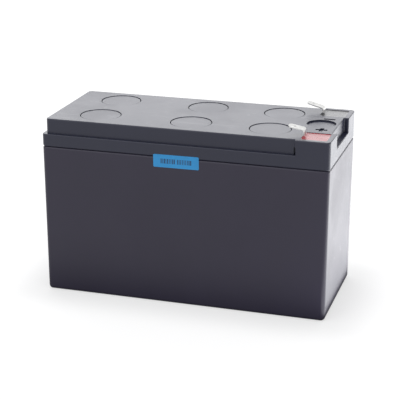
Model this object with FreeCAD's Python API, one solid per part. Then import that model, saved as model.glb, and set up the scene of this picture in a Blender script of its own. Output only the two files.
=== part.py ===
import FreeCAD, Part
import math
import os

os.makedirs("parts", exist_ok=True)

# A sealed 12 V lead-acid block, the kind that is slid into an uninterruptible
# power supply as its battery cartridge. Millimetres. X runs along the block
# with the terminals at +X, -Y is the front, Z is up, and the origin is the
# middle of the base. Six two-volt cells stand in two rows of three: cell 1 is
# front right, 3 front left, 4 rear left and 6 rear right, in series.

# ---------------------------------------------------------------- block outside
length = 151.0              # over the container and lid, along X
width = 65.0                # over the container and lid, along Y
height = 94.0               # base to the top of the lid
lid_depth = 14.5            # seam to the top of the lid
deck_rise = 7.8             # ledge to the top of the lid
deck_inset = 1.75           # how far the deck stands back from the ledge's edge
corner_radius = 2.3         # upright corners of container and lid
base_radius = 1.9           # lower edge of the container
draft = 0.3                 # how much each container side leans in at the base
deck_edge_radius = 0.6      # upper edge of the deck
ledge_edge_radius = 0.4     # upper edge of the ledge
seam_edge_radius = 0.9      # on both sides of the seam, which shows as a groove

# -------------------------------------------------------------------- container
outer_wall = 2.5
floor_thickness = 2.5
partition = 1.5             # walls between the cells
cell_corner = 1.0
cells_per_row = 3
rim_shoulder = 1.1          # flat outside the tongue, where the seam shows
tongue_rise = 2.0           # how far the tongue and partitions stand into the lid
weld_hole_radius = 2.6      # through each partition that a strap is welded through
weld_drop = 3.7             # from the seam down to the weld's centre

# -------------------------------------------------------------------------- lid
glue_gap = 0.15             # round the tongue and the partitions
glue_headroom = 0.2         # over them
lid_lip = 1.5               # inner side of the glue groove
lid_wall = 2.4              # walls of the deck
deck_thickness = 2.5
hollow_corner = 1.2
tower_length = 17.7         # raised corner that holds a terminal, along X
tower_width = 17.5          # the same, along Y
tower_corner = 0.75         # upright corners where the deck meets a tower
tower_edge_radius = 0.7     # upright edges of the towers
step_share = 0.45           # most of the deck's inset that either may take
rim_chamfer = 0.15          # round the valve seats and the wells
end_step = 2.6              # how far the deck stands back between the towers

# ------------------------------------------------- pressure valves and their lids
cover_radius = 10.4
cover_thickness = 1.5
cover_sink = 0.2            # the cover's top lies this much below the deck
cover_gap = 0.35            # between the cover's edge and its seat
cover_edge_radius = 0.25
cover_to_tower = 5.9        # clear deck between the end covers and the towers
vent_radius = 8.6           # pocket under the cover
vent_depth = 5.8
vent_wall = 1.3
vent_floor = 1.8
escape_width = 2.0          # slot that lets gas out under the cover's edge
escape_depth = 0.5
chimney_radius = 3.0
chimney_bore = 1.2
chimney_height = 4.4
cap_wall = 1.3              # rubber cap that closes the chimney
cap_top = 1.1
cap_skirt = 3.6
cap_stretch_gap = 0.05
cap_edge_radius = 0.4

# ----------------------------------------------------------- wells and terminals
well_length = 13.0
well_width = 13.0
well_corner = 1.2
well_end_wall = 2.5         # from the well to the end face
well_side_wall = 3.0        # from the well to the side face
well_depth = 9.2
well_floor = 1.8
well_wall = 1.4
potting_sink = 0.45         # potting's surface below the deck
post_radius = 3.0
post_gap = 0.2              # between the post and the hole it passes through
post_shoulder = 2.2         # shoulder's height over the well's floor
post_tip_radius = 1.2
post_tip_rise = 0.9         # riveted tip over the terminal's foot
post_groove = 0.35          # sealing grooves round the post
post_groove_pitch = 1.4
seal_section = 0.85         # radius of the rubber ring's section
seal_gap = 0.05
tab_width = 4.75
tab_thickness = 0.8
tab_foot_overhang = 3.1     # foot beyond the post's centre
tab_to_well = 0.3           # riser's outer face from the well's end
foot_bend = 0.6             # inside radius where the foot turns up
strip_over_deck = 10.5      # length of strip that stands out of the well
blade_tip_chamfer = 0.9
detent_radius = 0.7
detent_from_tip = 3.1
positive_clear = 3.0        # underside of the blade over the deck, at the bend
positive_bend = 0.8         # inside radius between riser and blade
positive_lift = 10.0        # degrees that the blade points up
negative_clear = 2.3        # the rear one is bent more gently
negative_bend = 1.5
negative_lift = 15.0

# ---------------------------------------------------------- marks on the outside
mark_depth = 0.8
mark_size = 6.0
mark_bar = 1.9
mark_from_well = 6.2        # polarity mark's centre from the well, along Y
mark_from_end = 9.1
dial_radius = 7.5           # shallow round recess between the marks
dial_from_end = 11.4
dial_offset = 0.9
dial_depth = 0.8
ledge_slot_width = 1.3      # upright slot where the ledge meets a tower
ledge_slot_height = 3.8
ledge_slot_depth = 3.0
seam_notch_width = 2.3      # notch in the lid's lower edge, front right
seam_notch_height = 0.7
seam_notch_depth = 0.9
seam_notch_from_end = 1.9
label_length = 24.0
label_height = 6.7
label_thickness = 0.12
label_centre = -2.7
label_over_seam = 1.4
label_corner = 0.6
label_tilt = 0.4

# ------------------------------------------------------------- plates and straps
positive_thickness = 3.0
negative_thickness = 1.9
mat_least = 0.9             # thinnest that the glass mat may be pressed
stack_gap = 0.05            # between the stack and the compartment's wall
mat_end_gap = 0.5           # mat to the compartment's end walls
plate_end_gap = 1.5
mat_fold_radius = 0.7
mat_over_plate = 1.5
plate_corner = 0.8
lug_width = 8.0
lug_corner = 0.5
strap_width = 9.6
strap_thickness = 4.0
strap_over_mat = 2.5
strap_under_seam = 5.0      # strap's upper face below the seam
strap_corner = 1.0
lug_seat = 2.5              # how deep the lugs are cast into the strap
strap_overhang = 1.2        # strap beyond the outer lugs
strap_wall_gap = 0.3
upright_thickness = 2.2     # part of the strap that stands against a partition
upright_rise = 4.3
upright_width = 10.0
weld_fill_gap = 0.1         # between the weld and its hole

# ----------------------------------------------------------------- worked out
half_length = length / 2
half_width = width / 2
seam_z = height - lid_depth
ledge_z = height - deck_rise
inner_length = length - 2 * outer_wall
inner_width = width - 2 * outer_wall
cell_length = (inner_length - (cells_per_row - 1) * partition) / cells_per_row
cell_width = (inner_width - partition) / 2
weld_z = seam_z - weld_drop
strap_top = seam_z - strap_under_seam
strap_bottom = strap_top - strap_thickness
mat_top = strap_bottom - strap_over_mat
plate_top = mat_top - mat_over_plate
deck_end = half_length - end_step
tower_start = half_length - tower_length
tower_inside = half_width - tower_width
step_corner = min(tower_corner, step_share * deck_inset)
step_edge = min(tower_edge_radius, step_share * deck_inset)
post_x = half_length - outer_wall - strap_wall_gap - strap_width / 2
well_start = half_length - well_end_wall - well_length
well_end = half_length - well_end_wall
well_outside = half_width - well_side_wall
well_inside = well_outside - well_width
well_y = (well_outside + well_inside) / 2
well_bottom = height - well_depth
foot_z = well_bottom + post_shoulder
cover_top = height - cover_sink
seat_z = cover_top - cover_thickness
seat_radius = cover_radius + cover_gap
vent_bottom = seat_z - vent_depth

# Plates share the compartment's width; the glass mat is pressed to what is left.
pair_pitch = positive_thickness + negative_thickness + 2 * mat_least
stack_width = cell_width - 2 * stack_gap
positives = int((stack_width - negative_thickness) / pair_pitch)
lead_width = positives * positive_thickness + (positives + 1) * negative_thickness
mat = (stack_width - lead_width) / (2 * positives)
plate_bottom = floor_thickness + mat


def at(x, y, z):
    return FreeCAD.Vector(x, y, z)


def outline(corners, radii):
    """Closed wire through the corners, each rounded by its own radius."""
    edges = []
    ends = []
    count = len(corners)
    for i in range(count):
        corner = corners[i]
        back = (corners[i - 1] - corner).normalize()
        ahead = (corners[(i + 1) % count] - corner).normalize()
        half_angle = back.getAngle(ahead) / 2
        if radii[i] > 0:
            reach = radii[i] / math.tan(half_angle)
            middle = (back + ahead).normalize()
            sag = radii[i] / math.sin(half_angle) - radii[i]
            start = corner + back * reach
            end = corner + ahead * reach
            edges.append(Part.Arc(start, corner + middle * sag, end).toShape())
        else:
            start = corner
            end = corner
        ends.append((start, end))
    for i in range(count):
        edges.append(Part.LineSegment(ends[i - 1][1], ends[i][0]).toShape())
    return Part.Wire(Part.__sortEdges__(edges))


def rectangle(x0, x1, y0, y1, z, radius):
    corners = [at(x0, y0, z), at(x1, y0, z), at(x1, y1, z), at(x0, y1, z)]
    return outline(corners, [radius] * 4)


def pad(wire, way):
    return Part.Face(wire).extrude(way)


def block(x0, x1, y0, y1, z0, z1, radius=0.0):
    """Upright block between opposite corners, its upright edges rounded."""
    x0, x1 = sorted((x0, x1))
    y0, y1 = sorted((y0, y1))
    return pad(rectangle(x0, x1, y0, y1, z0, radius), at(0, 0, z1 - z0))


def rod(radius, x, y, z0, z1):
    return Part.makeCylinder(radius, z1 - z0, at(x, y, z0))


def turned(profile, x, y):
    """Solid of revolution about the upright line through x, y."""
    points = [at(radius, 0, z) for radius, z in profile]
    face = Part.Face(Part.makePolygon(points + [points[0]]))
    solid = face.revolve(at(0, 0, 0), at(0, 0, 1), 360)
    solid.translate(at(x, y, 0))
    return solid


def rounded(shape, radius, chosen):
    """Rounds the edges that the test picks out."""
    return shape.makeFillet(radius, [edge for edge in shape.Edges if chosen(edge)])


def lies_at(shape, z):
    box = shape.BoundBox
    return abs(box.ZMin - z) < 1e-4 and abs(box.ZMax - z) < 1e-4


def one_solid(shape):
    return shape.removeSplitter().Solids[0]


def save(name, solids):
    shape = Part.makeCompound(solids) if len(solids) > 1 else solids[0]
    shape.exportStep("parts/" + name + ".step")


# ---------------------------------------------------------------------- cells
# Each cell's compartment, from front right round to rear right.
cell_pitch = cell_length + partition
row_shift = (cell_width + partition) / 2
front_row = [((cells_per_row - 1) / 2 - i, -1) for i in range(cells_per_row)]
rear_row = [(-column, 1) for column, row in front_row]
cells = {}
for number, (column, row) in enumerate(front_row + rear_row, start=1):
    centre_x = column * cell_pitch
    centre_y = row * row_shift
    cells[number] = {
        "column": column,
        "row": row,
        "x": centre_x,
        "y": centre_y,
        "x0": centre_x - cell_length / 2,
        "x1": centre_x + cell_length / 2,
        "y0": centre_y - cell_width / 2,
        "y1": centre_y + cell_width / 2,
    }


def cell_block(cell, inset, z0, z1, radius):
    return block(cell["x0"] + inset, cell["x1"] - inset,
                 cell["y0"] + inset, cell["y1"] - inset, z0, z1, radius)


def valve_x(cell):
    """Valves stand over their cells, and the end ones keep clear of the towers."""
    furthest = tower_start - cover_to_tower - cover_radius
    return min(cell["x"], furthest)


# ---------------------------------------------------------------------- container
# One moulding: leaning outer walls, a round lower edge, six compartments, and
# a tongue along the rim that the lid is glued over.
def container():
    foot = rectangle(-half_length + draft, half_length - draft,
                     -half_width + draft, half_width - draft, 0, corner_radius)
    rim = rectangle(-half_length, half_length, -half_width, half_width,
                    seam_z, corner_radius)
    body = Part.makeLoft([foot, rim], True, True)
    body = rounded(body, base_radius, lambda edge: lies_at(edge, 0))
    body = rounded(body, seam_edge_radius, lambda edge: lies_at(edge, seam_z))
    tongue = block(-half_length + rim_shoulder, half_length - rim_shoulder,
                   -half_width + rim_shoulder, half_width - rim_shoulder,
                   seam_z - rim_shoulder, seam_z + tongue_rise,
                   corner_radius - rim_shoulder)
    body = body.fuse(tongue)
    cuts = []
    for cell in cells.values():
        cuts.append(cell_block(cell, 0, floor_thickness, height, cell_corner))
    for first in (1, 2, 4, 5):
        side = min(cells[first]["x0"], cells[first + 1]["x0"]) + cell_length
        start = at(side - partition, cells[first]["y"], weld_z)
        cuts.append(Part.makeCylinder(weld_hole_radius, 3 * partition, start,
                                      at(1, 0, 0)))
    turn = at(strap_x(cells[3], -1), -partition, weld_z)
    cuts.append(Part.makeCylinder(weld_hole_radius, 2 * partition, turn,
                                  at(0, 1, 0)))
    return one_solid(body.cut(cuts))


# ------------------------------------------------------------------------ straps
# Cast lead bars over the plates' lugs. A bar ends in an upright that stands
# against a partition and is welded through it to the next cell's, or carries
# a terminal's post.
def strap_x(cell, end):
    """Middle of the strap, lugs and post at one end (+1 or -1) of a cell."""
    if end > 0:
        return cell["x1"] - strap_wall_gap - strap_width / 2
    return cell["x0"] + strap_wall_gap + strap_width / 2


def positive_end(cell):
    return 1 if cell["row"] < 0 else -1


def plate_places(cell):
    """Middle of each plate across the cell: negatives outside, then in turn."""
    negatives = []
    positive_list = []
    y = cell["y0"] + stack_gap
    for i in range(positives + 1):
        negatives.append(y + negative_thickness / 2)
        y += negative_thickness + mat
        if i < positives:
            positive_list.append(y + positive_thickness / 2)
            y += positive_thickness + mat
    return positive_list, negatives


def plate(cell, y, thickness, end):
    """Pasted grid with its lug, as one upright slab."""
    x0 = cell["x0"] + plate_end_gap
    x1 = cell["x1"] - plate_end_gap
    middle = strap_x(cell, end)
    lug0 = middle - lug_width / 2
    lug1 = middle + lug_width / 2
    lug_top = strap_bottom + lug_seat
    front = y - thickness / 2
    profile = [(x0, plate_bottom, plate_corner), (x1, plate_bottom, plate_corner),
               (x1, plate_top, plate_corner), (lug1, plate_top, lug_corner),
               (lug1, lug_top, 0), (lug0, lug_top, 0),
               (lug0, plate_top, lug_corner), (x0, plate_top, plate_corner)]
    corners = [at(x, front, z) for x, z, radius in profile]
    radii = [radius for x, z, radius in profile]
    return pad(outline(corners, radii), at(0, thickness, 0))


def folded_mat(cell, y):
    """Glass mat folded under one positive plate and up both its faces."""
    x0 = cell["x0"] + mat_end_gap
    outside = positive_thickness / 2 + mat
    inside = positive_thickness / 2
    profile = [(-outside, floor_thickness, mat_fold_radius),
               (outside, floor_thickness, mat_fold_radius),
               (outside, mat_top, 0), (inside, mat_top, 0),
               (inside, plate_bottom, 0), (-inside, plate_bottom, 0),
               (-inside, mat_top, 0), (-outside, mat_top, 0)]
    corners = [at(x0, y + dy, z) for dy, z, radius in profile]
    radii = [radius for dy, z, radius in profile]
    return pad(outline(corners, radii), at(cell_length - 2 * mat_end_gap, 0, 0))


def strap(cell, end, lugs, lug_thickness, joins):
    """joins is +1 or -1 for the partition on that side along X, "middle" for
    the wall between the rows, or "post" for a terminal."""
    middle = strap_x(cell, end)
    x0 = middle - strap_width / 2
    x1 = middle + strap_width / 2
    reach = lug_thickness / 2 + strap_overhang
    y0 = max(min(lugs) - reach, cell["y0"] + strap_wall_gap)
    y1 = min(max(lugs) + reach, cell["y1"] - strap_wall_gap)
    near_wall = cell["row"] * (partition / 2 + strap_wall_gap)
    if joins == "middle":
        y0 = min(y0, near_wall) if cell["row"] > 0 else y0
        y1 = max(y1, near_wall) if cell["row"] < 0 else y1
    bar = block(x0, x1, y0, y1, strap_bottom, strap_top, strap_corner)
    upright_top = strap_top + upright_rise
    if joins in (1, -1):
        face = x1 if joins > 0 else x0
        stand = block(face, face - joins * upright_thickness,
                      cell["y"] - upright_width / 2, cell["y"] + upright_width / 2,
                      strap_bottom, upright_top)
        weld = Part.makeCylinder(weld_hole_radius - weld_fill_gap,
                                 strap_wall_gap + partition / 2,
                                 at(face, cell["y"], weld_z), at(joins, 0, 0))
        bar = bar.fuse([stand, weld])
    if joins == "middle":
        way = -cell["row"]
        stand = block(x0, x1, near_wall, near_wall - way * upright_thickness,
                      strap_bottom, upright_top)
        weld = Part.makeCylinder(weld_hole_radius - weld_fill_gap,
                                 strap_wall_gap + partition / 2,
                                 at(middle, near_wall, weld_z), at(0, way, 0))
        bar = bar.fuse([stand, weld])
    slots = [block(middle - lug_width / 2, middle + lug_width / 2,
                   y - lug_thickness / 2, y + lug_thickness / 2,
                   strap_bottom, strap_bottom + lug_seat) for y in lugs]
    return one_solid(bar.cut(slots))


# --------------------------------------------------------------------------- lid
# One moulding: a skirt flush with the container, the raised deck with its two
# terminal towers, six valve pockets, two terminal wells, and below them the
# grooved ribs that are glued over the container's rim and partitions.
def deck_outline(z):
    """Plan of the deck, stepping out to the skirt's faces at both towers."""
    left = -half_length + deck_inset
    side = half_width - deck_inset
    front = [(left, -side, corner_radius), (tower_start, -side, step_corner),
             (tower_start, -half_width, step_edge),
             (half_length, -half_width, corner_radius),
             (half_length, -tower_inside, step_edge),
             (deck_end, -tower_inside, step_corner)]
    rear = [(x, -y, radius) for x, y, radius in reversed(front)]
    corners = [at(x, y, z) for x, y, radius in front + rear]
    return outline(corners, [radius for x, y, radius in front + rear])


def lid_shell():
    skirt = block(-half_length, half_length, -half_width, half_width,
                  seam_z, ledge_z, corner_radius)
    skirt = rounded(skirt, seam_edge_radius, lambda edge: lies_at(edge, seam_z))
    skirt = rounded(skirt, ledge_edge_radius, lambda edge: lies_at(edge, ledge_z))
    # The towers stand out to the skirt's faces, through its rounded upper edge.
    root_z = ledge_z - ledge_edge_radius
    deck = pad(deck_outline(root_z), at(0, 0, height - root_z))
    deck = rounded(deck, deck_edge_radius, lambda edge: lies_at(edge, height))
    return skirt.fuse(deck).removeSplitter()


def lid_hollows():
    """Space under the deck over each cell."""
    inset = glue_gap + lid_lip
    result = []
    for cell in cells.values():
        x1 = min(cell["x1"] - inset, deck_end - lid_wall)
        result.append(block(cell["x0"] + inset, x1,
                            cell["y0"] + inset, cell["y1"] - inset,
                            seam_z, height - deck_thickness, hollow_corner))
    return result


def glue_groove():
    """Plan of the container's rim and partitions, grown by the glue gap."""
    inset = rim_shoulder - glue_gap
    groove = block(-half_length + inset, half_length - inset,
                   -half_width + inset, half_width - inset,
                   seam_z, seam_z + tongue_rise + glue_headroom,
                   corner_radius - inset)
    islands = [cell_block(cell, glue_gap, seam_z, height, cell_corner)
               for cell in cells.values()]
    return groove.cut(islands)


def well_block(side, grow, z0, z1, radius):
    """Block round a terminal well on the front (-1) or rear (+1) side."""
    return block(well_start - grow, well_end + grow,
                 side * (well_inside - grow), side * (well_outside + grow),
                 z0, z1, radius)


def ease_rims(shape):
    """Chamfers the openings in the deck's top."""
    tops = [face for face in shape.Faces if lies_at(face, height)]
    deck = max(tops, key=lambda face: face.Area)
    inner = [wire for wire in deck.Wires if not wire.isSame(deck.OuterWire)]
    return shape.makeChamfer(rim_chamfer, [edge for wire in inner for edge in wire.Edges])


def polarity_marks():
    """Plus by the positive well, minus by the negative one."""
    x = half_length - mark_from_end
    plus_y = -(well_inside - mark_from_well)
    arm = mark_size / 2
    bar = mark_bar / 2
    floor = height - mark_depth
    top = height + mark_depth
    return [block(x - arm, x + arm, plus_y - bar, plus_y + bar, floor, top),
            block(x - bar, x + bar, plus_y - arm, plus_y + arm, floor, top),
            block(x - arm, x + arm, -plus_y - bar, -plus_y + bar, floor, top)]


def lid():
    shell = lid_shell().cut(lid_hollows())
    bosses = []
    cuts = [glue_groove()]
    chimneys = []
    bores = []
    for cell in cells.values():
        x = valve_x(cell)
        y = cell["y"]
        bosses.append(rod(seat_radius + vent_wall, x, y,
                          vent_bottom - vent_floor, height - deck_thickness))
        cuts.append(rod(seat_radius, x, y, seat_z, height + 1))
        cuts.append(rod(vent_radius, x, y, vent_bottom, seat_z))
        way = cell["row"]
        cuts.append(block(x - escape_width / 2, x + escape_width / 2,
                          y, y + way * seat_radius,
                          seat_z - escape_depth, seat_z))
        chimneys.append(rod(chimney_radius, x, y, vent_bottom,
                            vent_bottom + chimney_height))
        bores.append(rod(chimney_bore, x, y, seam_z, seat_z))
    for side in (-1, 1):
        bosses.append(well_block(side, well_wall, well_bottom - well_floor,
                                 height - deck_thickness, well_corner))
        cuts.append(well_block(side, 0, well_bottom, height + 1, well_corner))
        cuts.append(rod(post_radius + post_gap, post_x, side * well_y,
                        seam_z, height))
        ledge_y = side * (half_width - ledge_slot_depth)
        cuts.append(block(tower_start - ledge_slot_width / 2,
                          tower_start + ledge_slot_width / 2,
                          ledge_y, side * (half_width + 1),
                          ledge_z, ledge_z + ledge_slot_height))
    notch_end = half_length - seam_notch_from_end
    cuts.append(block(notch_end - seam_notch_width, notch_end,
                      -half_width - 1, -half_width + seam_notch_depth,
                      seam_z - 1, seam_z + seam_notch_height))
    opened = ease_rims(one_solid(shell.fuse(bosses).cut(cuts)))
    dial = rod(dial_radius, half_length - dial_from_end, dial_offset,
               height - dial_depth, height + 1)
    marked = opened.cut(polarity_marks() + [dial])
    return one_solid(marked.fuse(chimneys).cut(bores))


# ------------------------------------------------------------- valves and covers
def valve_cover(cell):
    """Flat disc glued into its seat over the valve."""
    disc = rod(cover_radius, valve_x(cell), cell["y"], seat_z, cover_top)
    return rounded(disc, cover_edge_radius, lambda edge: lies_at(edge, cover_top))


def valve_cap(cell):
    """Rubber cap that lifts off the chimney when the cell has to let gas out."""
    top = vent_bottom + chimney_height + cap_top
    under = vent_bottom + chimney_height
    bottom = under - cap_skirt
    outside = chimney_radius + cap_stretch_gap + cap_wall
    inside = chimney_radius + cap_stretch_gap
    profile = [(0, under), (inside, under), (inside, bottom), (outside, bottom),
               (outside, top - cap_edge_radius), (outside - cap_edge_radius, top),
               (0, top)]
    return turned(profile, valve_x(cell), cell["y"])


# --------------------------------------------------------------------- terminals
def post(side):
    """Lead pillar on the strap, with sealing grooves, a shoulder that the
    terminal's foot lies on, and a tip riveted over it."""
    tip_z = foot_z + tab_thickness
    core = post_radius - post_groove
    profile = [(0, strap_top), (post_radius, strap_top)]
    z = seam_z
    while z + post_groove_pitch < well_bottom - well_floor:
        profile += [(post_radius, z), (core, z + post_groove_pitch / 4),
                    (core, z + post_groove_pitch / 2),
                    (post_radius, z + 3 * post_groove_pitch / 4)]
        z += post_groove_pitch
    profile += [(post_radius, foot_z), (post_tip_radius, foot_z),
                (post_tip_radius, tip_z),
                (post_tip_radius + post_tip_rise / 2, tip_z),
                (post_tip_radius, tip_z + post_tip_rise), (0, tip_z + post_tip_rise)]
    return turned(profile, post_x, side * well_y)


def post_seal(side):
    """Rubber ring round the post, on the well's floor."""
    middle = post_radius + seal_gap + seal_section
    return Part.makeTorus(middle, seal_section,
                          at(post_x, side * well_y, well_bottom + seal_section))


def blade_length(clear, bend, lift):
    """Blade beyond its corner with the riser, both cut from the same strip."""
    half_turn = math.radians(90 - lift) / 2
    middle_radius = bend + tab_thickness / 2
    saved = 2 * middle_radius * (math.tan(half_turn) - half_turn)
    return strip_over_deck - clear + saved


def tab(side, clear, bend, lift):
    """Stamped and bent push-on terminal: a foot under the potting, a riser out
    of the well, and a blade that points away from the end."""
    slope = math.radians(lift)
    riser_outer = well_start + tab_to_well
    riser_inner = riser_outer + tab_thickness
    foot_end = post_x + tab_foot_overhang
    under = height + clear
    along = at(-math.cos(slope), 0, math.sin(slope))
    across = at(math.sin(slope), 0, math.cos(slope))
    # The blade's underside meets the riser's outer face at this corner.
    under_corner = at(riser_outer, 0, under)
    rise = tab_thickness * (1 - math.sin(slope)) / math.cos(slope)
    over_corner = at(riser_inner, 0, under + rise)
    tip_under = under_corner + along * blade_length(clear, bend, lift)
    tip_over = tip_under + across * tab_thickness
    corners = [at(foot_end, 0, foot_z), at(riser_outer, 0, foot_z), under_corner,
               tip_under, tip_over, over_corner,
               at(riser_inner, 0, foot_z + tab_thickness),
               at(foot_end, 0, foot_z + tab_thickness)]
    radii = [0, foot_bend + tab_thickness, bend, 0, 0, bend + tab_thickness,
             foot_bend, 0]
    strip = pad(outline(corners, radii), at(0, tab_width, 0))
    strip.translate(at(0, -tab_width / 2, 0))
    # Chamfered tip and detent hole, cut through the blade at right angles.
    half = tab_width / 2
    cuts = []
    for edge in (-1, 1):
        nose = [tip_under + at(0, edge * half, 0),
                tip_under - along * blade_tip_chamfer + at(0, edge * half, 0),
                tip_under + at(0, edge * (half - blade_tip_chamfer), 0)]
        wedge = Part.Face(Part.makePolygon([point - across for point in nose]
                                           + [nose[0] - across]))
        cuts.append(wedge.extrude(across * (tab_thickness + 2)))
    hole = tip_under - along * detent_from_tip - across
    cuts.append(Part.makeCylinder(detent_radius, tab_thickness + 2, hole, across))
    cuts.append(rod(post_tip_radius, post_x, 0, foot_z - 1, foot_z + 2))
    strip = strip.cut(cuts)
    strip.translate(at(0, side * well_y, 0))
    return one_solid(strip)


def potting(side, pieces):
    """Coloured epoxy poured into the well round the post, seal and terminal."""
    fill = well_block(side, 0, well_bottom, height - potting_sink, well_corner)
    return one_solid(fill.cut(pieces))


# ------------------------------------------------------------------------- label
def label():
    """Small blue sticker across the seam on the front."""
    top = seam_z + label_over_seam
    wire = outline([at(label_centre + dx * label_length / 2, -half_width, z)
                    for dx, z in ((-1, top - label_height), (1, top - label_height),
                                  (1, top), (-1, top))], [label_corner] * 4)
    sticker = pad(wire, at(0, -label_thickness, 0))
    middle = at(label_centre, -half_width, top - label_height / 2)
    sticker.rotate(middle, at(0, -1, 0), label_tilt)
    return sticker


# ------------------------------------------------------------------------ output
save("container", [container()])
save("lid", [lid()])
save("rating_label", [label()])

for number, cell in cells.items():
    save("valve_cover_" + str(number), [valve_cover(cell)])
    save("valve_cap_" + str(number), [valve_cap(cell)])

for name, side, bent in (
        ("positive", -1, (positive_clear, positive_bend, positive_lift)),
        ("negative", 1, (negative_clear, negative_bend, negative_lift))):
    pillar = post(side)
    seal = post_seal(side)
    terminal = tab(side, *bent)
    save(name + "_terminal", [terminal])
    save(name + "_post", [pillar])
    save(name + "_post_seal", [seal])
    save(name + "_potting", [potting(side, [pillar, seal, terminal])])

for number, cell in cells.items():
    plus = positive_end(cell)
    positive_places, negative_places = plate_places(cell)
    plus_joins = "post" if number == 1 else "middle" if number == 4 else plus
    minus_joins = "post" if number == 6 else "middle" if number == 3 else -plus
    prefix = "cell_" + str(number) + "_"
    save(prefix + "positive_plates",
         [plate(cell, y, positive_thickness, plus) for y in positive_places])
    save(prefix + "negative_plates",
         [plate(cell, y, negative_thickness, -plus) for y in negative_places])
    save(prefix + "separators", [folded_mat(cell, y) for y in positive_places])
    save(prefix + "positive_strap",
         [strap(cell, plus, positive_places, positive_thickness, plus_joins)])
    save(prefix + "negative_strap",
         [strap(cell, -plus, negative_places, negative_thickness, minus_joins)])
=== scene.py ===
import math

import bmesh
import bpy
from mathutils import Matrix, Vector


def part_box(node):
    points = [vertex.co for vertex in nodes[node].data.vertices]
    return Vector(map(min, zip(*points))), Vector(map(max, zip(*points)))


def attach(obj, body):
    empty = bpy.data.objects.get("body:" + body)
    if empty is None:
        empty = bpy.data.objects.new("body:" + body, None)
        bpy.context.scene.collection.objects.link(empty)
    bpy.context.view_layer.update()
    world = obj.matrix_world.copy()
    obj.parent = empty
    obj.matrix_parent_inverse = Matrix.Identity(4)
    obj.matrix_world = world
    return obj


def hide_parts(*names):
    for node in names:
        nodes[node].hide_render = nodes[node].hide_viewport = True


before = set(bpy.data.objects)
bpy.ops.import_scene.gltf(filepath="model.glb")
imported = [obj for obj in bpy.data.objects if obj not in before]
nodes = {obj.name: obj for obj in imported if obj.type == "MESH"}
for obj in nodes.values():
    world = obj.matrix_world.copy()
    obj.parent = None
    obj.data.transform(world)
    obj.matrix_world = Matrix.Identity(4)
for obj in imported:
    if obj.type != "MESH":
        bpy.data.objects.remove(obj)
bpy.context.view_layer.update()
scene = bpy.context.scene

# --------------------------------------------------------------------- camera
# The block is seen from in front, a little right of square and from above, so
# that its long side, its terminal end and its deck all show.
view_azimuth = math.radians(17.0)
view_elevation = math.radians(18.95)
view_distance = 0.685
view_lens = 116.0
sensor_width = 36.0
view_height = 0.047         # of the point that the camera is aimed at

aim = Vector((0.0, 0.0, view_height))
towards_camera = Vector((math.sin(view_azimuth) * math.cos(view_elevation),
                         -math.cos(view_azimuth) * math.cos(view_elevation),
                         math.sin(view_elevation)))
camera = bpy.data.objects.new("camera", bpy.data.cameras.new("camera"))
scene.collection.objects.link(camera)
camera.data.lens = view_lens
camera.data.sensor_width = sensor_width
camera.data.clip_start = 0.01
camera.data.clip_end = 50.0
camera.location = aim + towards_camera * view_distance
camera.rotation_euler = (-towards_camera).to_track_quat("-Z", "Y").to_euler()
scene.camera = camera
scene.view_settings.view_transform = "Standard"


# ------------------------------------------------------------------ container
# Injection-moulded ABS box, charcoal with a violet cast. Its mould was spark
# eroded, which leaves a fine even grain, and its walls lean in a little so
# that it leaves the mould.
MM = 0.001
container_colour = (0.0230, 0.0190, 0.0415)
container_roughness = 0.38
container_grain = 3600.0    # grains to the metre
container_grain_depth = 0.006 * MM
pit_share = 0.31            # pits in the grain, to each grain
pit_height = 0.6
gloss_drift = 0.03          # either way of the plastic's roughness
rub_polish = 0.07           # how much smoother a rub leaves it
rub_faint, rub_full = 0.60, 0.72
rub_directions = (          # turn in radians, and stretch
    (0.12, (0.05, 1.0, 1.0)),
    (-0.35, (1.0, 1.0, 0.06)),
)


def add_node(tree, kind, inputs=None, **settings):
    """Adds a node, then sets or links its inputs, given by name or number."""
    made = tree.nodes.new(kind)
    for key, value in settings.items():
        setattr(made, key, value)
    for key, value in (inputs or {}).items():
        if isinstance(value, bpy.types.NodeSocket):
            tree.links.new(value, made.inputs[key])
        else:
            made.inputs[key].default_value = value
    return made


def new_group(name, kind, inputs, outputs):
    """Node group with named sockets, and its input and output nodes."""
    tree = bpy.data.node_groups.new(name, kind)
    for label, socket, value in inputs:
        made = tree.interface.new_socket(label, in_out="INPUT", socket_type=socket)
        if value is not None:
            made.default_value = value
    for label, socket in outputs:
        tree.interface.new_socket(label, in_out="OUTPUT", socket_type=socket)
    return tree, tree.nodes.new("NodeGroupInput"), tree.nodes.new("NodeGroupOutput")


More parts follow.
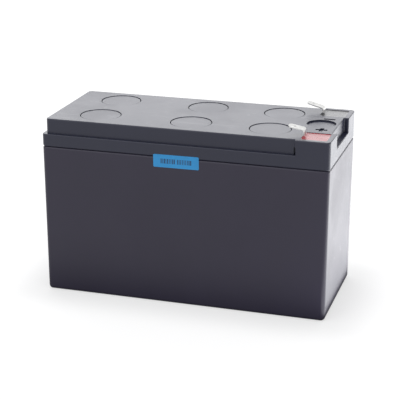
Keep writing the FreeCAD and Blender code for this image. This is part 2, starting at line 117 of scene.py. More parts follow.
def mould_grain_group():
    """Grain that a spark-eroded mould leaves, and the slow drift of tone and
    gloss that the cooling plastic has."""
    tree, given, result = new_group(
        "mould grain", "ShaderNodeTree",
        [("Vector", "NodeSocketVector", None), ("Grain", "NodeSocketFloat", 3600.0),
         ("Drift", "NodeSocketFloat", 22.0)],
        [("Height", "NodeSocketFloat"), ("Tone", "NodeSocketFloat"),
         ("Gloss", "NodeSocketFloat")])
    vector = given.outputs["Vector"]
    grain = add_node(tree, "ShaderNodeTexNoise",
                     {"Vector": vector, "Scale": given.outputs["Grain"],
                      "Detail": 3.0, "Roughness": 0.55})
    coarse = add_node(tree, "ShaderNodeMath", {0: given.outputs["Grain"], 1: pit_share},
                      operation="MULTIPLY")
    pits = add_node(tree, "ShaderNodeTexVoronoi",
                    {"Vector": vector, "Scale": coarse.outputs[0]},
                    feature="SMOOTH_F1")
    both = add_node(tree, "ShaderNodeMath",
                    {0: pits.outputs["Distance"], 1: pit_height,
                     2: grain.outputs["Fac"]},
                    operation="MULTIPLY_ADD")
    tone = add_node(tree, "ShaderNodeTexNoise",
                    {"Vector": vector, "Scale": given.outputs["Drift"],
                     "Detail": 5.0, "Roughness": 0.55})
    gloss = add_node(tree, "ShaderNodeTexNoise",
                     {"Vector": tone.outputs["Color"], "Scale": 2.5, "Detail": 3.0})
    tree.links.new(both.outputs[0], result.inputs["Height"])
    tree.links.new(tone.outputs["Fac"], result.inputs["Tone"])
    tree.links.new(gloss.outputs["Fac"], result.inputs["Gloss"])
    return tree


def handling_group():
    """Hair-fine rubs in two directions, from sliding in and out of a bay."""
    tree, given, result = new_group(
        "handling rubs", "ShaderNodeTree",
        [("Vector", "NodeSocketVector", None), ("Spacing", "NodeSocketFloat", 260.0)],
        [("Rub", "NodeSocketFloat")])
    masks = []
    for turn, stretch in rub_directions:
        turned = add_node(tree, "ShaderNodeMapping",
                          {"Vector": given.outputs["Vector"],
                           "Rotation": (0.0, turn, turn), "Scale": stretch})
        lines = add_node(tree, "ShaderNodeTexNoise",
                         {"Vector": turned.outputs[0],
                          "Scale": given.outputs["Spacing"],
                          "Detail": 6.0, "Roughness": 0.7})
        thin = add_node(tree, "ShaderNodeMapRange",
                        {"Value": lines.outputs["Fac"], "From Min": rub_faint,
                         "From Max": rub_full})
        masks.append(thin.outputs[0])
    either = add_node(tree, "ShaderNodeMath", {0: masks[0], 1: masks[1]},
                      operation="MAXIMUM")
    tree.links.new(either.outputs[0], result.inputs["Rub"])
    return tree


mould_grain = mould_grain_group()
handling_rubs = handling_group()


def new_material(name):
    """Material with a Principled shader, its tree, the shader and the place on
    the object that its patterns follow."""
    material = bpy.data.materials.new(name)
    material.use_nodes = True
    tree = material.node_tree
    place = add_node(tree, "ShaderNodeTexCoord").outputs["Object"]
    return material, tree, tree.nodes["Principled BSDF"], place


def span(tree, factor, low, high):
    """Value that runs from low to high as the factor runs from 0.3 to 0.7."""
    made = add_node(tree, "ShaderNodeMapRange",
                    {"Value": factor, "From Min": 0.3, "From Max": 0.7,
                     "To Min": low, "To Max": high})
    return made.outputs[0]


def mixed(tree, factor, first, second):
    """Colour between the two, given as tuples or as colour sockets."""
    ends = [end if isinstance(end, bpy.types.NodeSocket) else (*end, 1.0)
            for end in (first, second)]
    made = add_node(tree, "ShaderNodeMix", {"Factor": factor, 6: ends[0], 7: ends[1]},
                    data_type="RGBA")
    return made.outputs[2]


def shaded(tree, colour, factor, spread):
    """The colour, made darker and lighter by the spread as the factor varies."""
    low = tuple(part * (1 - spread) for part in colour)
    high = tuple(part * (1 + spread) for part in colour)
    return mixed(tree, span(tree, factor, 0.0, 1.0), low, high)


def bumped(tree, shader, height, depth):
    """Bump of the given depth, in metres, over the whole surface."""
    bump = add_node(tree, "ShaderNodeBump", {"Height": height, "Distance": depth})
    tree.links.new(bump.outputs["Normal"], shader.inputs["Normal"])


def moulded_plastic(name, colour, roughness, grain, depth, tone_spread=0.09):
    """Grained plastic whose tone and gloss drift, with faint rubs."""
    material, tree, shader, place = new_material(name)
    surface = add_node(tree, "ShaderNodeGroup", node_tree=mould_grain)
    tree.links.new(place, surface.inputs["Vector"])
    surface.inputs["Grain"].default_value = grain
    rubs = add_node(tree, "ShaderNodeGroup", node_tree=handling_rubs)
    tree.links.new(place, rubs.inputs["Vector"])
    drift = span(tree, surface.outputs["Gloss"], roughness - gloss_drift,
                 roughness + gloss_drift)
    rubbed = add_node(tree, "ShaderNodeMath",
                      {0: rubs.outputs["Rub"], 1: -rub_polish, 2: drift},
                      operation="MULTIPLY_ADD")
    tree.links.new(shaded(tree, colour, surface.outputs["Tone"], tone_spread),
                   shader.inputs["Base Color"])
    tree.links.new(rubbed.outputs[0], shader.inputs["Roughness"])
    bumped(tree, shader, surface.outputs["Height"], depth)
    return material


def finish_node(name, material):
    """Gives a carried-over node its material."""
    mesh = nodes[name].data
    for index in range(len(mesh.materials)):
        mesh.materials[index] = material


finish_node("container", moulded_plastic("container abs", container_colour,
                                         container_roughness, container_grain,
                                         container_grain_depth))


# ----------------------------------------------------------------- glass mats
# Blotter of hair-fine glass fibres, folded round each positive plate. It holds
# all of the acid, and looks like thick white felt.
cell_numbers = range(1, 7)
mat_white = (0.74, 0.74, 0.71)
mat_tone = 0.12             # how much the felt's tone varies
mat_roughness = 0.92
mat_specular = 0.2
fibre_count = 1500.0        # fibres to the metre
fibre_turns = (0.5, -0.7, 1.6)  # of the layers, in radians
fibre_tilt = 0.4            # share of the turn that a layer also tilts
fibre_stretch = (0.06, 1.0, 1.0)
fibre_depth = 0.05 * MM


def glass_felt():
    """Felt of fibres laid in three directions."""
    material, tree, shader, place = new_material("glass felt")
    layers = []
    for turn in fibre_turns:
        laid = add_node(tree, "ShaderNodeMapping",
                        {"Vector": place, "Rotation": (fibre_tilt * turn, turn, turn),
                         "Scale": fibre_stretch})
        fibres = add_node(tree, "ShaderNodeTexNoise",
                          {"Vector": laid.outputs[0], "Scale": fibre_count,
                           "Detail": 2.0})
        layers.append(fibres.outputs["Fac"])
    crossed = add_node(tree, "ShaderNodeMath", {0: layers[0], 1: layers[1]},
                       operation="MAXIMUM")
    felt = add_node(tree, "ShaderNodeMath", {0: crossed.outputs[0], 1: layers[2]},
                    operation="MAXIMUM")
    tree.links.new(shaded(tree, mat_white, felt.outputs[0], mat_tone),
                   shader.inputs["Base Color"])
    shader.inputs["Roughness"].default_value = mat_roughness
    shader.inputs["Specular IOR Level"].default_value = mat_specular
    bumped(tree, shader, felt.outputs[0], fibre_depth)
    return material


felt_finish = glass_felt()
for number in cell_numbers:
    finish_node("cell_" + str(number) + "_separators", felt_finish)


# --------------------------------------------------------------------- plates
# Cast lead grids with paste pressed into their windows: brown lead dioxide in
# the positives, grey spongy lead in the negatives. The wires show as low
# lines through the paste.
wire_pitch = (7.4 * MM, 5.2 * MM)       # along X, and up
wire_width = 0.9 * MM
wire_lead = (0.20, 0.205, 0.215)
wire_height = 0.6           # against the paste's crumbs
wire_show = (0.15, 0.75)    # least and most that a wire shows through
positive_paste = (0.050, 0.024, 0.014)
negative_paste = (0.115, 0.120, 0.130)
paste_roughness = (0.78, 0.95)
paste_tone = 0.30           # how much the paste's tone varies
paste_crumbs = 1400.0       # crumbs to the metre
paste_blotches = 120.0      # places where it hides the wires, to the metre
paste_depth = 0.10 * MM
poles = ("positive", "negative")


def grid_wires_group():
    """1 on the wires of a rectangular grid that stands in the XZ plane."""
    tree, given, result = new_group(
        "grid wires", "ShaderNodeTree",
        [("Vector", "NodeSocketVector", None), ("Pitch X", "NodeSocketFloat", 0.007),
         ("Pitch Z", "NodeSocketFloat", 0.005), ("Width", "NodeSocketFloat", 0.001)],
        [("Wire", "NodeSocketFloat")])
    along = add_node(tree, "ShaderNodeSeparateXYZ", {0: given.outputs["Vector"]})
    halves = [add_node(tree, "ShaderNodeMath", {0: given.outputs[name], 1: 0.5},
                       operation="MULTIPLY").outputs[0]
              for name in ("Pitch X", "Pitch Z", "Width")]
    masks = []
    for axis, half_pitch in (("X", halves[0]), ("Z", halves[1])):
        away = add_node(tree, "ShaderNodeMath",
                        {0: along.outputs[axis], 1: half_pitch},
                        operation="PINGPONG")
        on_wire = add_node(tree, "ShaderNodeMapRange",
                           {"Value": away.outputs[0], "From Min": halves[2],
                            "From Max": 0.0}, interpolation_type="SMOOTHSTEP")
        masks.append(on_wire.outputs[0])
    either = add_node(tree, "ShaderNodeMath", {0: masks[0], 1: masks[1]},
                      operation="MAXIMUM")
    tree.links.new(either.outputs[0], result.inputs["Wire"])
    return tree


grid_wires = grid_wires_group()


def pasted_grid(name, paste):
    """Crumbly paste with the grid's wires showing through in places."""
    material, tree, shader, place = new_material(name)
    wires = add_node(tree, "ShaderNodeGroup", node_tree=grid_wires)
    tree.links.new(place, wires.inputs["Vector"])
    wires.inputs["Pitch X"].default_value = wire_pitch[0]
    wires.inputs["Pitch Z"].default_value = wire_pitch[1]
    wires.inputs["Width"].default_value = wire_width
    crumbs = add_node(tree, "ShaderNodeTexNoise",
                      {"Vector": place, "Scale": paste_crumbs, "Detail": 6.0,
                       "Roughness": 0.65})
    blotches = add_node(tree, "ShaderNodeTexNoise",
                        {"Vector": place, "Scale": paste_blotches, "Detail": 3.0})
    covered = add_node(tree, "ShaderNodeMath",
                       {0: wires.outputs["Wire"],
                        1: span(tree, blotches.outputs["Fac"], *wire_show)},
                       operation="MULTIPLY")
    filled = shaded(tree, paste, crumbs.outputs["Fac"], paste_tone)
    tree.links.new(mixed(tree, covered.outputs[0], filled, wire_lead),
                   shader.inputs["Base Color"])
    tree.links.new(span(tree, crumbs.outputs["Fac"], *paste_roughness),
                   shader.inputs["Roughness"])
    relief = add_node(tree, "ShaderNodeMath",
                      {0: wires.outputs["Wire"], 1: wire_height,
                       2: crumbs.outputs["Fac"]}, operation="MULTIPLY_ADD")
    bumped(tree, shader, relief.outputs[0], paste_depth)
    return material


for pole, paste in zip(poles, (positive_paste, negative_paste)):
    pasted = pasted_grid(pole + " pasted grid", paste)
    for number in cell_numbers:
        finish_node("cell_" + str(number) + "_" + pole + "_plates", pasted)


# ----------------------------------------------------------- straps and posts
# Lead alloy, cast over the plates' lugs and turned at the posts. Fresh lead is
# bright, and goes blue-grey and dull in patches within days.
bright_lead = (0.37, 0.38, 0.405)
dull_lead = (0.25, 0.26, 0.285)
lead_roughness = (0.38, 0.66)   # where it is bright, and dull
cast_depth = 0.03 * MM      # of the cast surface's tooth


def bloom_group():
    """Patches of oxide on bare metal, and the fine tooth of its surface."""
    tree, given, result = new_group(
        "oxide bloom", "ShaderNodeTree",
        [("Vector", "NodeSocketVector", None), ("Patches", "NodeSocketFloat", 240.0),
         ("Tooth", "NodeSocketFloat", 2400.0)],
        [("Bloom", "NodeSocketFloat"), ("Height", "NodeSocketFloat")])
    patches = add_node(tree, "ShaderNodeTexNoise",
                       {"Vector": given.outputs["Vector"],
                        "Scale": given.outputs["Patches"], "Detail": 5.0,
                        "Roughness": 0.6, "Distortion": 0.6})
    tooth = add_node(tree, "ShaderNodeTexNoise",
                     {"Vector": given.outputs["Vector"],
                      "Scale": given.outputs["Tooth"], "Detail": 3.0})
    bloom = add_node(tree, "ShaderNodeMapRange",
                     {"Value": patches.outputs["Fac"], "From Min": 0.38,
                      "From Max": 0.62}, interpolation_type="SMOOTHSTEP")
    tree.links.new(bloom.outputs[0], result.inputs["Bloom"])
    tree.links.new(tooth.outputs["Fac"], result.inputs["Height"])
    return tree


oxide_bloom = bloom_group()


def cast_lead():
    """Bare lead, bright where it is fresh and dull where oxide has grown."""
    material, tree, shader, place = new_material("cast lead")
    surface = add_node(tree, "ShaderNodeGroup", node_tree=oxide_bloom)
    tree.links.new(place, surface.inputs["Vector"])
    shader.inputs["Metallic"].default_value = 1.0
    tree.links.new(mixed(tree, surface.outputs["Bloom"], bright_lead, dull_lead),
                   shader.inputs["Base Color"])
    gloss = add_node(tree, "ShaderNodeMapRange",
                     {"Value": surface.outputs["Bloom"],
                      "To Min": lead_roughness[0], "To Max": lead_roughness[1]})
    tree.links.new(gloss.outputs[0], shader.inputs["Roughness"])
    bumped(tree, shader, surface.outputs["Height"], cast_depth)
    return material


lead_finish = cast_lead()
for pole in poles:
    finish_node(pole + "_post", lead_finish)
    for number in cell_numbers:
        finish_node("cell_" + str(number) + "_" + pole + "_strap", lead_finish)


# ------------------------------------------------------------------------ lid
# A second ABS moulding, a shade bluer than the container, glued over its rim.
# The six valve covers are cut from the same plastic and glued into their seats.
lid_colour = (0.0185, 0.0203, 0.0420)
lid_roughness = 0.36
lid_grain = 5200.0
lid_grain_depth = 0.003 * MM
lid_tone = 0.07             # how much its tone varies

lid_plastic = moulded_plastic("lid abs", lid_colour, lid_roughness, lid_grain,
                              lid_grain_depth, lid_tone)
finish_node("lid", lid_plastic)
for number in cell_numbers:
    finish_node("valve_cover_" + str(number), lid_plastic)


# ------------------------------------------------------------- caps and seals
# Soft black rubber: a cap over each cell's chimney, which lets gas out under
# pressure, and a ring round each post. Talc from the mould greys it a little.
rubber_black = (0.011, 0.011, 0.012)
talc_grey = (0.060, 0.060, 0.062)
most_talc = 0.35            # where it lies thickest
talc_drift = 400.0
rubber_roughness = (0.52, 0.68)
rubber_grain = 6000.0
rubber_grain_depth = 0.008 * MM


def black_rubber():
    """Matt rubber, greyed in patches by talc."""
    material, tree, shader, place = new_material("black rubber")
    surface = add_node(tree, "ShaderNodeGroup", node_tree=mould_grain)
    tree.links.new(place, surface.inputs["Vector"])
    surface.inputs["Grain"].default_value = rubber_grain
    surface.inputs["Drift"].default_value = talc_drift
    talc = span(tree, surface.outputs["Tone"], 0.0, most_talc)
    tree.links.new(mixed(tree, talc, rubber_black, talc_grey),
                   shader.inputs["Base Color"])
    tree.links.new(span(tree, surface.outputs["Gloss"], *rubber_roughness),
                   shader.inputs["Roughness"])
    bumped(tree, shader, surface.outputs["Height"], rubber_grain_depth)
    return material


rubber_finish = black_rubber()
for number in cell_numbers:
    finish_node("valve_cap_" + str(number), rubber_finish)
for pole in poles:
    finish_node(pole + "_post_seal", rubber_finish)


# ------------------------------------------------------------------ terminals
# Push-on blades stamped from brass strip, bent twice and tin plated. Stamping
# rolls the edges over a little, and rolling leaves faint lines along the strip.
tin_colour = (0.80, 0.80, 0.79)
tin_roughness = (0.33, 0.42)
tin_tone = 0.05             # how much its tone varies
tin_patches = 420.0         # patches of bloom to the metre
rolling_lines = (60.0, 5200.0, 60.0)    # to the metre, across the strip along Y
rolling_depth = 0.002 * MM
stamped_edge = 0.11 * MM
stamped_steps = 3
stamped_corner = math.radians(35)   # edges that turn more than this are rolled over
flat_within = math.radians(1)       # triangles that turn less become one face


def tin_plate():
    """Bright tin with rolling lines and a little bloom."""
    material, tree, shader, place = new_material("tinned brass")
    rolled = add_node(tree, "ShaderNodeMapping",
                      {"Vector": place, "Scale": rolling_lines})
    lines = add_node(tree, "ShaderNodeTexNoise",
                     {"Vector": rolled.outputs[0], "Scale": 1.0, "Detail": 3.0})
    surface = add_node(tree, "ShaderNodeGroup", node_tree=oxide_bloom)
    tree.links.new(place, surface.inputs["Vector"])
    surface.inputs["Patches"].default_value = tin_patches
    shader.inputs["Metallic"].default_value = 1.0
    tree.links.new(shaded(tree, tin_colour, surface.outputs["Bloom"], tin_tone),
                   shader.inputs["Base Color"])
    tree.links.new(span(tree, surface.outputs["Bloom"], *tin_roughness),
                   shader.inputs["Roughness"])
    bumped(tree, shader, lines.outputs["Fac"], rolling_depth)
    return material


def stamped_blade(pole, material):
    """The terminal with its stamped edges rolled over."""
    mesh = bmesh.new()
    mesh.from_mesh(nodes[pole + "_terminal"].data)
    bmesh.ops.remove_doubles(mesh, verts=mesh.verts, dist=0.001 * MM)
    bmesh.ops.dissolve_limit(mesh, angle_limit=flat_within, verts=mesh.verts,
                             edges=mesh.edges)
    sharp = [edge for edge in mesh.edges
             if edge.is_manifold and edge.calc_face_angle() > stamped_corner]
    bmesh.ops.bevel(mesh, geom=sharp, offset=stamped_edge, segments=stamped_steps,
                    affect="EDGES", profile=0.5, clamp_overlap=True)
    bmesh.ops.triangulate(mesh, faces=[face for face in mesh.faces
                                       if len(face.verts) > 4])
    data = bpy.data.meshes.new(pole + "_blade")
    mesh.to_mesh(data)
    mesh.free()
    data.shade_smooth()
    data.set_sharp_from_angle(angle=stamped_corner)
    data.materials.clear()
    data.materials.append(material)
    blade = bpy.data.objects.new(pole + "_blade", data)
    scene.collection.objects.link(blade)
    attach(blade, "root")
    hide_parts(pole + "_terminal")
    return blade


tin = tin_plate()
blades = []
for pole in poles:
    finish_node(pole + "_terminal", tin)
    blades.append(stamped_blade(pole, tin))


# -------------------------------------------------------------------- potting
# Two-part epoxy poured into each terminal well once the terminal is riveted
# on: red marks the positive, black the negative. It sets with a glassy skin
# that creeps up the walls and the terminal.
positive_red = (0.36, 0.026, 0.036)
negative_black = (0.016, 0.016, 0.018)
epoxy_index = 1.5
epoxy_roughness = (0.23, 0.32)
epoxy_tone = 0.12           # how much its tone varies
flow_waves = 260.0          # to the metre
flow_depth = 0.12 * MM
dust_specks = 1900.0        # to the metre


def poured_epoxy(name, colour):
    """Glassy resin with slow waves in its skin and a little dust."""
    material, tree, shader, place = new_material(name)
    flow = add_node(tree, "ShaderNodeTexNoise",
                    {"Vector": place, "Scale": flow_waves, "Detail": 2.0})
    dust = add_node(tree, "ShaderNodeTexNoise",
                    {"Vector": place, "Scale": dust_specks, "Detail": 4.0})
    shader.inputs["IOR"].default_value = epoxy_index
    tree.links.new(shaded(tree, colour, flow.outputs["Fac"], epoxy_tone),
                   shader.inputs["Base Color"])
    tree.links.new(span(tree, dust.outputs["Fac"], *epoxy_roughness),
                   shader.inputs["Roughness"])
    bumped(tree, shader, flow.outputs["Fac"], flow_depth)
    return material


well_corner = 1.2 * MM
riser_from_wall = 0.7 * MM  # middle of the terminal's riser
riser_half = 0.4 * MM
wall_creep = 0.22 * MM      # height of the skin against the wall
tab_creep = 1.0 * MM        # and against the terminal's riser
creep_reach = 0.50 * MM     # over which it falls away
skin_lift = 0.03 * MM       # of the skin over the poured face
skin_edge = 0.1 * MM        # how far its rim turns down into that face
skin_corner = 0.15 * MM     # least radius of a ring's corners
# Millimetres from the well's wall to each ring, close together where it climbs.
skin_rings = (0.02, 0.1, 0.2, 0.3, 0.45, 0.6, 0.8, 1.0, 1.25, 1.5, 1.8, 2.2,
              2.8, 3.6, 4.6, 5.4)
ring_points = 160


def rounded_outline(x0, x1, y0, y1, radius, count):
    """Points round a rectangle with round corners, evenly spread by angle."""
    centre_x = (x0 + x1) / 2
    centre_y = (y0 + y1) / 2
    half_x = (x1 - x0) / 2 - radius
    half_y = (y1 - y0) / 2 - radius
    points = []
    for index in range(count):
        angle = math.tau * (index + 0.5) / count
        side_x = math.cos(angle)
        side_y = math.sin(angle)
        reach = max(abs(side_x), abs(side_y))
        edge_x = side_x / reach * (half_x + radius)
        edge_y = side_y / reach * (half_y + radius)
        core_x = max(-half_x, min(half_x, edge_x))
        core_y = max(-half_y, min(half_y, edge_y))
        away = Vector((edge_x - core_x, edge_y - core_y))
        if away.length > 0:
            away = away.normalized() * radius
        points.append((centre_x + core_x + away.x, centre_y + core_y + away.y))
    return points


def epoxy_skin(pole, material):
    """Skin of one potting: rings that follow the well's wall inwards, raised
    where the epoxy crept up the wall and the terminal."""
    low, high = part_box(pole + "_potting")
    tab_low, tab_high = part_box(pole + "_terminal")
    riser_x = low.x + riser_from_wall
    mesh = bmesh.new()
    rings = []
    for inset in skin_rings:
        gap = inset * MM
        radius = max(well_corner - gap, skin_corner)
        ring = []
        for x, y in rounded_outline(low.x + gap, high.x - gap, low.y + gap,
                                    high.y - gap, radius, ring_points):
            off_end = max(abs(x - riser_x) - riser_half, 0.0)
            off_side = max(tab_low.y - y, y - tab_high.y, 0.0)
            to_tab = math.hypot(off_end, off_side)
            climb = max(wall_creep * math.exp(-gap / creep_reach),
                        tab_creep * math.exp(-to_tab / creep_reach))
            ring.append(mesh.verts.new((x, y, high.z + skin_lift + climb)))
        rings.append(ring)
    for outer, inner in zip(rings, rings[1:]):
        for index in range(ring_points):
            following = (index + 1) % ring_points
            mesh.faces.new((outer[index], outer[following],
                            inner[following], inner[index]))
    mesh.faces.new(rings[-1])
    under = [mesh.verts.new((vert.co.x, vert.co.y, high.z - skin_edge))
             for vert in rings[0]]
    for index in range(ring_points):
        following = (index + 1) % ring_points
        mesh.faces.new((rings[0][following], rings[0][index],
                        under[index], under[following]))
    mesh.faces.new(list(reversed(under)))
    bmesh.ops.recalc_face_normals(mesh, faces=mesh.faces)
    data = bpy.data.meshes.new(pole + "_potting_skin")
    mesh.to_mesh(data)
    mesh.free()
    for face in data.polygons:
        face.use_smooth = len(face.vertices) == 4
    data.materials.append(material)
    skin = bpy.data.objects.new(pole + "_potting_skin", data)
    scene.collection.objects.link(skin)
    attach(skin, "root")


for pole, colour in zip(poles, (positive_red, negative_black)):
    epoxy = poured_epoxy(pole + " epoxy", colour)
    finish_node(pole + "_potting", epoxy)
    epoxy_skin(pole, epoxy)


# ---------------------------------------------------------------------- label
# Small light blue sticker of printed film, pressed on across the seam, with
# one row of plain dark bars that stand for its print.
label_blue = (0.040, 0.375, 0.820)
print_navy = (0.010, 0.028, 0.085)
film_roughness = (0.30, 0.42)
film_tone = 0.06            # how much the print's tone varies
film_waves = 150.0          # to the metre
film_depth = 0.05 * MM
ink_specks = 2600.0         # to the metre
bar_row_length = 15.6 * MM
bar_row_height = 2.5 * MM
bar_count = 19
bar_gap_at = 9              # bars before the space between the two groups
bar_proud = 0.008 * MM
thinnest_bar = 0.3 * MM
widest_bar = 0.6 * MM
bar_seed = 4
label_tilt = math.radians(0.4)


def printed_film(name, colour):
    """Plain printed film that lies a little unevenly."""
    material, tree, shader, place = new_material(name)
    ink = add_node(tree, "ShaderNodeTexNoise",
                   {"Vector": place, "Scale": ink_specks, "Detail": 3.0})
    press = add_node(tree, "ShaderNodeTexNoise",
                     {"Vector": place, "Scale": film_waves, "Detail": 2.0})
    tree.links.new(shaded(tree, colour, press.outputs["Fac"], film_tone),
                   shader.inputs["Base Color"])
    tree.links.new(span(tree, ink.outputs["Fac"], *film_roughness),
                   shader.inputs["Roughness"])
    bumped(tree, shader, press.outputs["Fac"], film_depth)
    return material


def bar_row_tree():
    """Row of upright bars of uneven width, with one wide space."""
    tree, given, result = new_group(
        "bar row", "GeometryNodeTree",
        [("Geometry", "NodeSocketGeometry", None),
         ("Count", "NodeSocketInt", 19), ("Length", "NodeSocketFloat", 0.0156),
         ("Height", "NodeSocketFloat", 0.0025), ("Depth", "NodeSocketFloat", 0.00002),
         ("Thinnest", "NodeSocketFloat", 0.0003), ("Widest", "NodeSocketFloat", 0.0006),
         ("Space After", "NodeSocketInt", 9), ("Seed", "NodeSocketInt", 4),
         ("Ink", "NodeSocketMaterial", None)],
        [("Geometry", "NodeSocketGeometry")])
    steps = add_node(tree, "ShaderNodeMath", {0: given.outputs["Count"], 1: 1.0},
                     operation="SUBTRACT")
    pitch = add_node(tree, "ShaderNodeMath",
                     {0: given.outputs["Length"], 1: steps.outputs[0]},
                     operation="DIVIDE")
    offset = add_node(tree, "ShaderNodeCombineXYZ", {"X": pitch.outputs[0]})
    start_x = add_node(tree, "ShaderNodeMath", {0: given.outputs["Length"], 1: -0.5},
                       operation="MULTIPLY")
    start = add_node(tree, "ShaderNodeCombineXYZ", {"X": start_x.outputs[0]})
    row = add_node(tree, "GeometryNodeMeshLine",
                   {"Count": given.outputs["Count"],
                    "Start Location": start.outputs[0],
                    "Offset": offset.outputs[0]})
    place = add_node(tree, "GeometryNodeInputIndex")
    kept = add_node(tree, "FunctionNodeCompare",
                    {2: place.outputs[0], 3: given.outputs["Space After"]},
                    data_type="INT", operation="NOT_EQUAL")
    width = add_node(tree, "FunctionNodeRandomValue",
                     {2: given.outputs["Thinnest"], 3: given.outputs["Widest"],
                      "ID": place.outputs[0], "Seed": given.outputs["Seed"]},
                     data_type="FLOAT")
    size = add_node(tree, "ShaderNodeCombineXYZ",
                    {"X": width.outputs[1], "Y": given.outputs["Depth"],
                     "Z": given.outputs["Height"]})
    bar = add_node(tree, "GeometryNodeMeshCube", {"Size": (1.0, 1.0, 1.0)})
    placed = add_node(tree, "GeometryNodeInstanceOnPoints",
                      {"Points": row.outputs[0], "Selection": kept.outputs[0],
                       "Instance": bar.outputs[0], "Scale": size.outputs[0]})
    real = add_node(tree, "GeometryNodeRealizeInstances",
                    {"Geometry": placed.outputs[0]})
    inked = add_node(tree, "GeometryNodeSetMaterial",
                     {"Geometry": real.outputs[0], "Material": given.outputs["Ink"]})
    tree.links.new(inked.outputs[0], result.inputs["Geometry"])
    return tree


def baked(name, tree, values):
    """Plain mesh object of a geometry tree run with the named values."""
    carrier = bpy.data.objects.new(name, bpy.data.meshes.new(name + "_seed"))
    scene.collection.objects.link(carrier)
    modifier = carrier.modifiers.new("tree", "NODES")
    modifier.node_group = tree
    for item in tree.interface.items_tree:
        if item.in_out == "INPUT" and item.name in values:
            modifier[item.identifier] = values[item.name]
    evaluated = carrier.evaluated_get(bpy.context.evaluated_depsgraph_get())
    mesh = bpy.data.meshes.new_from_object(evaluated)
    carrier.modifiers.remove(modifier)
    carrier.data = mesh
    return carrier


finish_node("rating_label", printed_film("blue film", label_blue))
label_low, label_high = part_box("rating_label")
ink = printed_film("navy ink", print_navy)
bars = baked("label_print", bar_row_tree(),
             {"Count": bar_count, "Length": bar_row_length, "Height": bar_row_height,
              "Depth": 2 * bar_proud, "Thinnest": thinnest_bar, "Widest": widest_bar,
              "Space After": bar_gap_at, "Seed": bar_seed, "Ink": ink})
bars.data.transform(Matrix.Translation(((label_low.x + label_high.x) / 2, label_low.y,
                                        (label_low.z + label_high.z) / 2))
                    @ Matrix.Rotation(-label_tilt, 4, "Y"))
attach(bars, "root")


# ---------------------------------------------------------------------- studio
# White floor that runs out of sight, a soft light overhead and one in front, a
# tall panel behind left that the deck mirrors, and a glow low on the right that
# the terminal end mirrors.
lamp_tint = (0.965, 0.972, 1.0)
ambient = 0.55              # strength of the world on matt surfaces
floor_half = 8.0
floor_white = 0.45
floor_roughness = 0.9
floor_glow = 0.69           # added where the camera sees the floor
far_glow = 1.0              # the same, far away
far_start = 0.25
far_end = 1.2
painted_shadow_share = 0.82         # share of the glow left beside the block, a painted shadow
painted_shadow_reach = 0.030
mirrored_glow = 0.62        # added where the block mirrors the floor, faded to none beside the block as a painted shade
painted_reflection_shade_reach = 0.058
plain_white = (1.0, 1.0, 1.0, 1.0)

world = bpy.data.worlds.new("studio")
scene.world = world
world.use_nodes = True
sky = world.node_tree


def strongest(tree, values):
    """The largest of the values."""
    result = values[0]
    for value in values[1:]:
        result = add_node(tree, "ShaderNodeMath", {0: result, 1: value},
                          operation="MAXIMUM").outputs[0]
    return result


path = add_node(sky, "ShaderNodeLightPath")
direct = strongest(sky, [path.outputs["Is Camera Ray"], path.outputs["Is Glossy Ray"],
                         path.outputs["Is Transmission Ray"]])
strength = add_node(sky, "ShaderNodeMapRange",
                    {"Value": direct, "To Min": ambient, "To Max": 1.0})
sky.links.new(strength.outputs[0], sky.nodes["Background"].inputs["Strength"])
sky.nodes["Background"].inputs["Color"].default_value = plain_white

floor_mesh = bpy.data.meshes.new("floor")
floor_mesh.from_pydata([(-floor_half, -floor_half, 0), (floor_half, -floor_half, 0),
                        (floor_half, floor_half, 0), (-floor_half, floor_half, 0)],
                       [], [(0, 1, 2, 3)])
floor = bpy.data.objects.new("floor", floor_mesh)
scene.collection.objects.link(floor)


def eased(tree, value, start, end, low, high):
    """Value that eases from low to high as the other goes from start to end."""
    made = add_node(tree, "ShaderNodeMapRange",
                    {"Value": value, "From Min": start, "From Max": end,
                     "To Min": low, "To Max": high},
                    interpolation_type="SMOOTHSTEP")
    return made.outputs[0]


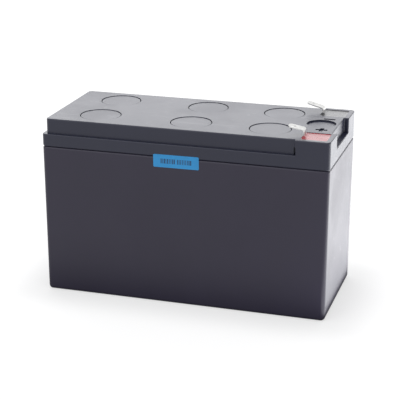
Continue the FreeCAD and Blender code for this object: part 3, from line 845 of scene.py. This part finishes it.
def floor_paper():
    """White paper that keeps the block's shadow and fades out to the backdrop. Its glow
    is lowered beside the block as a painted shadow, and the glow it shows in
    reflections fades beside the block as a painted shade.
    """
    material, tree, shader, place = new_material("floor paper")
    _, base_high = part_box("container")
    sides = add_node(tree, "ShaderNodeVectorMath", {0: place}, operation="ABSOLUTE")
    beyond = add_node(tree, "ShaderNodeVectorMath",
                      {0: sides.outputs[0], 1: (base_high.x, base_high.y, 1.0)},
                      operation="SUBTRACT")
    outside = add_node(tree, "ShaderNodeVectorMath", {0: beyond.outputs[0]},
                       operation="MAXIMUM")
    distance = add_node(tree, "ShaderNodeVectorMath", {0: outside.outputs[0]},
                        operation="LENGTH").outputs["Value"]
    path = add_node(tree, "ShaderNodeLightPath")
    seen = strongest(tree, [path.outputs["Is Camera Ray"],
                            path.outputs["Is Transmission Ray"]])
    # The glow that the camera sees is lowered beside the block: a painted shadow.
    glow_with_painted_shadow = eased(tree, distance, 0.0, painted_shadow_reach,
                      painted_shadow_share * floor_glow, floor_glow)
    glow = add_node(tree, "ShaderNodeMath",
                    {0: glow_with_painted_shadow, 1: eased(tree, distance, far_start, far_end,
                                            0.0, far_glow - floor_glow)})
    seen_glow = add_node(tree, "ShaderNodeMath", {0: seen, 1: glow.outputs[0]},
                         operation="MULTIPLY")
    # The glow seen in reflections fades out beside the block: a painted shade at the
    # block's foot.
    mirrored = add_node(tree, "ShaderNodeMath",
                        {0: path.outputs["Is Glossy Ray"],
                         1: eased(tree, distance, 0.0, painted_reflection_shade_reach, 0.0,
                                  mirrored_glow),
                         2: seen_glow.outputs[0]},
                        operation="MULTIPLY_ADD")
    tree.links.new(mirrored.outputs[0], shader.inputs["Emission Strength"])
    shader.inputs["Emission Color"].default_value = plain_white
    shader.inputs["Base Color"].default_value = (floor_white,) * 3 + (1.0,)
    shader.inputs["Roughness"].default_value = floor_roughness
    shader.inputs["Specular IOR Level"].default_value = 0.0
    return material


floor_mesh.materials.append(floor_paper())


def soft_light(name, place, target, width, height, radiance):
    """Rectangular lamp that faces the target and isn't seen by the camera."""
    lamp = bpy.data.lights.new(name, "AREA")
    lamp.shape = "RECTANGLE"
    lamp.size = width
    lamp.size_y = height
    lamp.color = lamp_tint
    lamp.energy = radiance * width * height * math.pi
    made = bpy.data.objects.new(name, lamp)
    scene.collection.objects.link(made)
    made.location = place
    facing = Vector(target) - Vector(place)
    made.rotation_euler = facing.to_track_quat("-Z", "Y").to_euler()
    made.visible_camera = False
    return made


# Each lamp's place, target, width, height and radiance.
lamp_settings = {
    "overhead": ((0.0, -0.10, 1.40), aim, 1.2, 1.2, 1.1),
    "rear panel": ((-0.30, 0.93, 0.43), aim, 1.5, 0.72, 1.45),
    "front fill": ((-0.55, -1.25, 0.75), aim, 1.0, 0.9, 0.9),
    "right glow": ((0.339, 0.445, 0.002), (0.339, 0.445, 1.0), 0.523, 1.01, 2.05),
}
lamps = {name: soft_light(name, *settings) for name, settings in lamp_settings.items()}

# The bright blades are shaded from the tall panel, which would burn them out.
shaded_blades = bpy.data.collections.new("shaded from the rear panel")
for blade in blades:
    shaded_blades.objects.link(blade)
for entry in shaded_blades.collection_objects:
    entry.light_linking.link_state = "EXCLUDE"
lamps["rear panel"].light_linking.receiver_collection = shaded_blades
